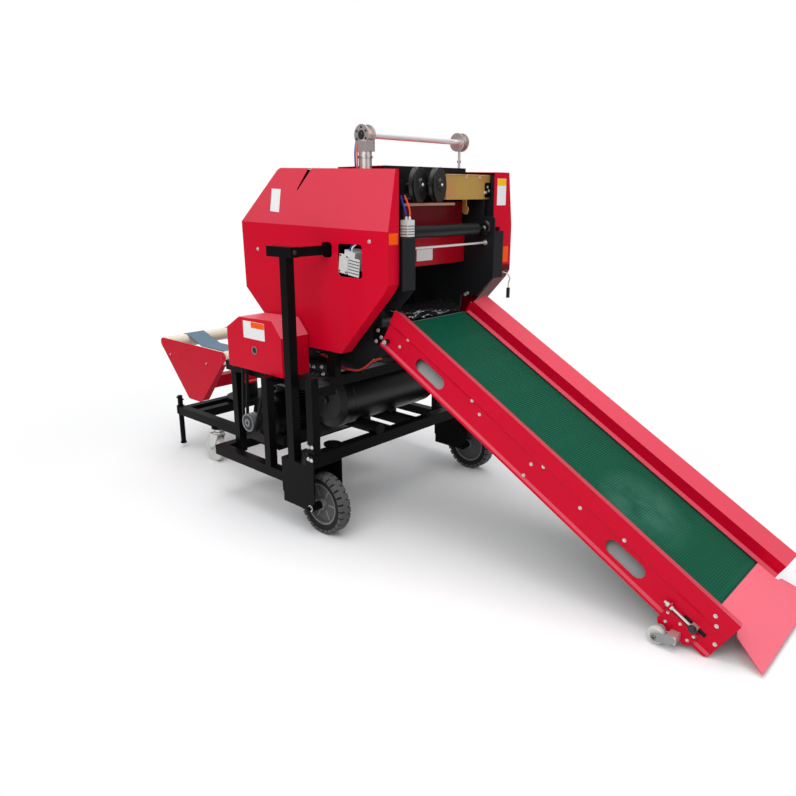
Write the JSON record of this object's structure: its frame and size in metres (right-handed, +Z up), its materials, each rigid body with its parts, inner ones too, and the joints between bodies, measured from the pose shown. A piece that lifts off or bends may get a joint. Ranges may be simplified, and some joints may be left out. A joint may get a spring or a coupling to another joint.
{
  "type": "mobile round baler and wrapper",
  "caption": "Wheeled round baler with red side covers, a sloping feed conveyor with a green belt, and a turning wrapping cradle behind.",
  "frame": {"origin": "bottom centre of the whole machine on the floor", "axes": "+X forward along the feed line towards the conveyor's low end, +Y to the far side, +Z up"},
  "size_m": [3.2598, 1.204, 1.655],
  "materials": {
    "black_paint": "gloss",
    "dark_paint": "satin",
    "red_paint": "gloss",
    "steel": "turned",
    "zinc": "zinc plated",
    "black_rubber": "matte",
    "grey_plastic": "satin",
    "green_belt": "ribbed",
    "grey_belt": "matte",
    "purple_plastic": "smooth",
    "orange_plastic": "smooth",
    "cream_plastic": "satin"
  },
  "bodies": {
    "root": {"air_tank": "black_paint", "belt_guard": "red_paint", "chamber_rollers": "steel", "chamber_wall_left": "dark_paint", "chamber_wall_right": "dark_paint", "compact_cylinders": "black_paint", "cover_left": "red_paint", "cover_right": "red_paint", "drive_belts": "black_rubber", "floor_rails": "black_paint", "front_frame": "black_paint", "hose_orange": "orange_plastic", "hose_purple": "purple_plastic", "inner_panels": "red_paint", "lift_columns": "zinc", "motor": "black_paint", "net_tray": "zinc", "pull_cord": "cream_plastic", "pull_plug": "black_rubber", "push_handle": "black_paint", "rear_frame": "black_paint", "steel_rods": "zinc", "upper_frame": "black_paint", "wheel_bracket_left": "black_paint", "wheel_bracket_right": "black_paint", "wrapper_frame": "black_paint"},
    "front_wheel_left": {"front_tyre_left": "black_rubber", "front_rim_left": "grey_plastic"},
    "rear_swivel_left": {"rear_caster_fork_left": "zinc"},
    "rear_wheel_left": {"rear_caster_wheel_left": "black_rubber"},
    "conveyor_wheel_left": {"conveyor_caster_wheel_left": "grey_plastic"},
    "front_wheel_right": {"front_tyre_right": "black_rubber", "front_rim_right": "grey_plastic"},
    "rear_swivel_right": {"rear_caster_fork_right": "zinc"},
    "rear_wheel_right": {"rear_caster_wheel_right": "black_rubber"},
    "conveyor_wheel_right": {"conveyor_caster_wheel_right": "grey_plastic"},
    "conveyor": {"conveyor_beam_left": "red_paint", "conveyor_beam_right": "red_paint", "conveyor_belt": "green_belt", "conveyor_bed": "steel", "lip_plate": "red_paint", "caster_brackets": "red_paint", "conveyor_caster_fork_left": "zinc", "conveyor_caster_fork_right": "zinc", "return_rollers": "steel", "tensioners": "zinc"},
    "head_drum_body": {"head_drum": "steel"},
    "tail_drum_body": {"tail_drum": "steel"},
    "tailgate": {"gate_shell": "dark_paint", "gate_rollers": "steel"},
    "feed_roller_body": {"feed_roller": "steel"},
    "guide_pulley_body_near": {"guide_pulley_near": "black_rubber"},
    "guide_pulley_body_far": {"guide_pulley_far": "black_rubber"},
    "motor_pulley_body": {"motor_pulley": "steel"},
    "upper_pulley_body": {"upper_pulley": "steel"},
    "cradle_body": {"cradle": "red_paint", "cradle_belts": "grey_belt"},
    "cradle_roller_body_front": {"cradle_roller_front": "cream_plastic"},
    "cradle_roller_body_rear": {"cradle_roller_rear": "cream_plastic"},
    "jack_body": {"jack": "black_paint"}
  },
  "joints": [
    {"name": "front_wheel_spin_left", "type": "hinge", "parent": "root", "child": "front_wheel_left", "pos_m": [-0.06663, -0.514, 0.132], "axis": [0, 1, 0], "continuous": true},
    {"name": "rear_swivel_turn_left", "type": "hinge", "parent": "root", "child": "rear_swivel_left", "pos_m": [-1.10663, -0.34, 0.192], "axis": [0, 0, 1], "continuous": true},
    {"name": "rear_wheel_spin_left", "type": "hinge", "parent": "rear_swivel_left", "child": "rear_wheel_left", "pos_m": [-1.14663, -0.34, 0.075], "axis": [0, 1, 0], "continuous": true},
    {"name": "conveyor_wheel_spin_left", "type": "hinge", "parent": "conveyor", "child": "conveyor_wheel_left", "pos_m": [1.31737, -0.332, 0.03], "axis": [0, 1, 0], "continuous": true},
    {"name": "front_wheel_spin_right", "type": "hinge", "parent": "root", "child": "front_wheel_right", "pos_m": [-0.06663, 0.514, 0.132], "axis": [0, 1, 0], "continuous": true},
    {"name": "rear_swivel_turn_right", "type": "hinge", "parent": "root", "child": "rear_swivel_right", "pos_m": [-1.10663, 0.34, 0.192], "axis": [0, 0, 1], "continuous": true},
    {"name": "rear_wheel_spin_right", "type": "hinge", "parent": "rear_swivel_right", "child": "rear_wheel_right", "pos_m": [-1.14663, 0.34, 0.075], "axis": [0, 1, 0], "continuous": true},
    {"name": "conveyor_wheel_spin_right", "type": "hinge", "parent": "conveyor", "child": "conveyor_wheel_right", "pos_m": [1.31737, 0.332, 0.03], "axis": [0, 1, 0], "continuous": true},
    {"name": "conveyor_fold", "type": "hinge", "parent": "root", "child": "conveyor", "pos_m": [0.10235, 0, 0.82059], "axis": [0, -1, 0], "range_deg": [0, 40]},
    {"name": "head_drum_spin", "type": "hinge", "parent": "conveyor", "child": "head_drum_body", "pos_m": [0.09702, 0, 0.8475], "axis": [0, 1, 0], "continuous": true},
    {"name": "tail_drum_spin", "type": "hinge", "parent": "conveyor", "child": "tail_drum_body", "pos_m": [1.42123, 0, 0.08912], "axis": [0, 1, 0], "continuous": true},
    {"name": "tailgate_hinge", "type": "hinge", "parent": "root", "child": "tailgate", "pos_m": [-0.25163, 0, 1.428], "axis": [0, 1, 0], "range_deg": [0, 70]},
    {"name": "feed_roller_spin", "type": "hinge", "parent": "root", "child": "feed_roller_body", "pos_m": [0.16537, 0, 1.252], "axis": [0, 1, 0], "continuous": true},
    {"name": "guide_pulley_spin_near", "type": "hinge", "parent": "root", "child": "guide_pulley_body_near", "pos_m": [0.12537, -0.217, 1.431], "axis": [0.9563, 0.2924, 0], "continuous": true},
    {"name": "guide_pulley_spin_far", "type": "hinge", "parent": "root", "child": "guide_pulley_body_far", "pos_m": [0.12537, -0.099, 1.431], "axis": [0.9563, 0.2924, 0], "continuous": true},
    {"name": "motor_pulley_spin", "type": "hinge", "parent": "root", "child": "motor_pulley_body", "pos_m": [-0.54663, -0.522, 0.392], "axis": [0, 1, 0], "continuous": true},
    {"name": "upper_pulley_spin", "type": "hinge", "parent": "root", "child": "upper_pulley_body", "pos_m": [-0.46663, -0.522, 0.76], "axis": [0, 1, 0], "continuous": true},
    {"name": "cradle_turn", "type": "hinge", "parent": "root", "child": "cradle_body", "pos_m": [-1.30663, 0, 0.268], "axis": [0, 0, 1], "continuous": true},
    {"name": "cradle_roller_spin_front", "type": "hinge", "parent": "cradle_body", "child": "cradle_roller_body_front", "pos_m": [-1.02163, 0, 0.586], "axis": [0, 1, 0], "continuous": true},
    {"name": "cradle_roller_spin_rear", "type": "hinge", "parent": "cradle_body", "child": "cradle_roller_body_rear", "pos_m": [-1.59163, 0, 0.586], "axis": [0, 1, 0], "continuous": true},
    {"name": "jack_slide", "type": "slide", "parent": "root", "child": "jack_body", "axis": [0, 0, -1], "range_m": [0, 0.022]}
  ],
  "couplings": [
    {"joint": "motor_pulley_spin", "follows": "upper_pulley_spin", "ratio": 2.2619}
  ]
}
